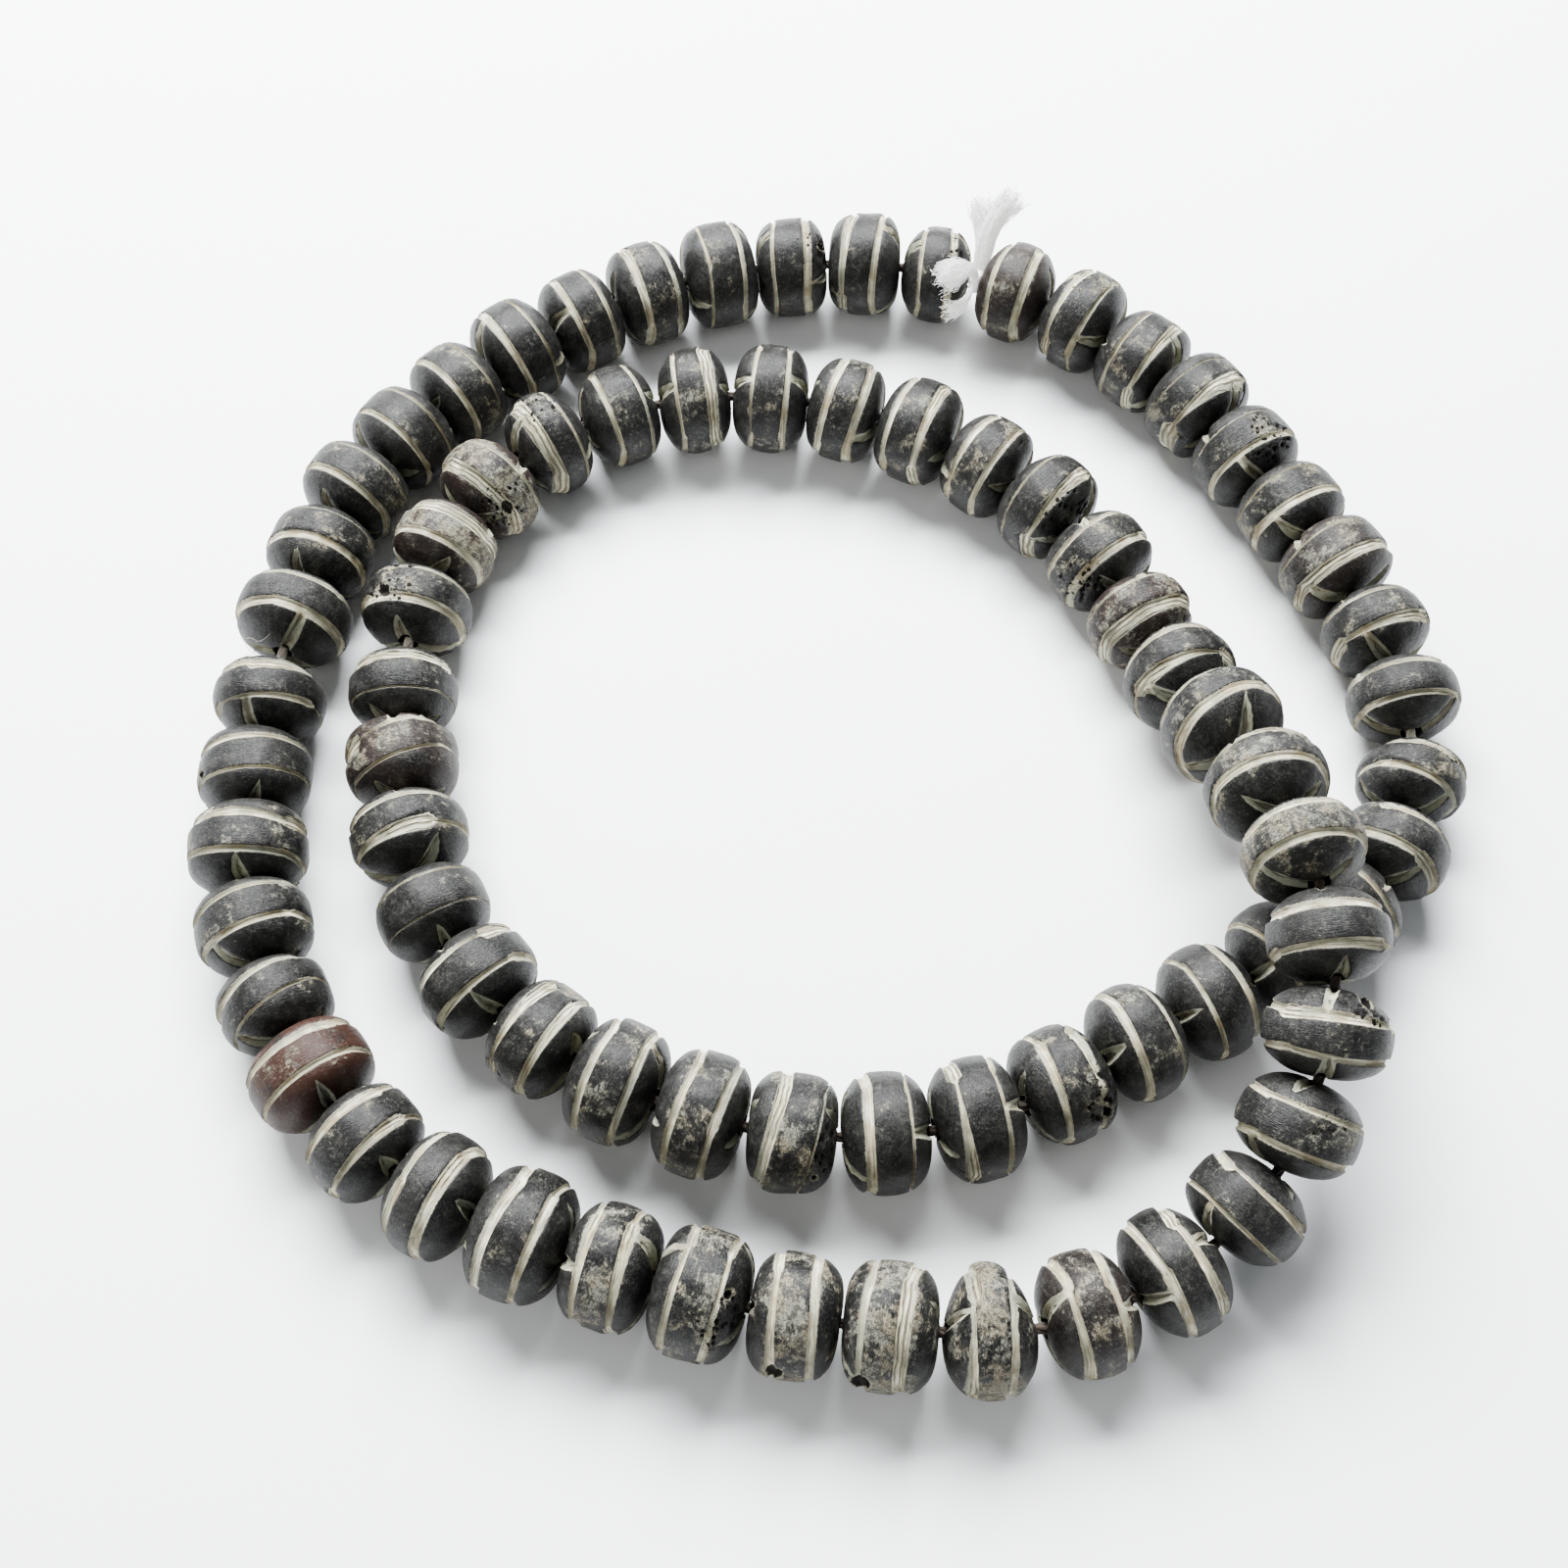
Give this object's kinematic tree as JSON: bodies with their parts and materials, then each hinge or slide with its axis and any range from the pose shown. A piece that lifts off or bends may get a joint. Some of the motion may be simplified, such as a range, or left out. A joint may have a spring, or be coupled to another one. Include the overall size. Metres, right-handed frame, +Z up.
{
  "type": "carved bone bead necklace",
  "caption": "Long closed string of drum-shaped carved bone beads with two pale rings each, tied at a frayed cotton knot and laid flat in two turns that cross once.",
  "frame": {"origin": "on the surface that the necklace lies on, below the middle of its box", "axes": "+Z up, -Y towards the viewer of the picture, +X to the viewer's right"},
  "size_m": [0.1556, 0.1653, 0.0282],
  "materials": {
    "bone": "black-dyed bone, polished and worn to grey and tan patches, with raw off-white bone in the carved rings and notches",
    "thread": "twisted cotton, soiled cream",
    "knot_cotton": "frayed white cotton"
  },
  "bodies": {
    "root": {"beads_first_turn": "bone", "beads_second_turn": "bone", "thread": "thread", "knot": "knot_cotton"}
  },
  "joints": []
}
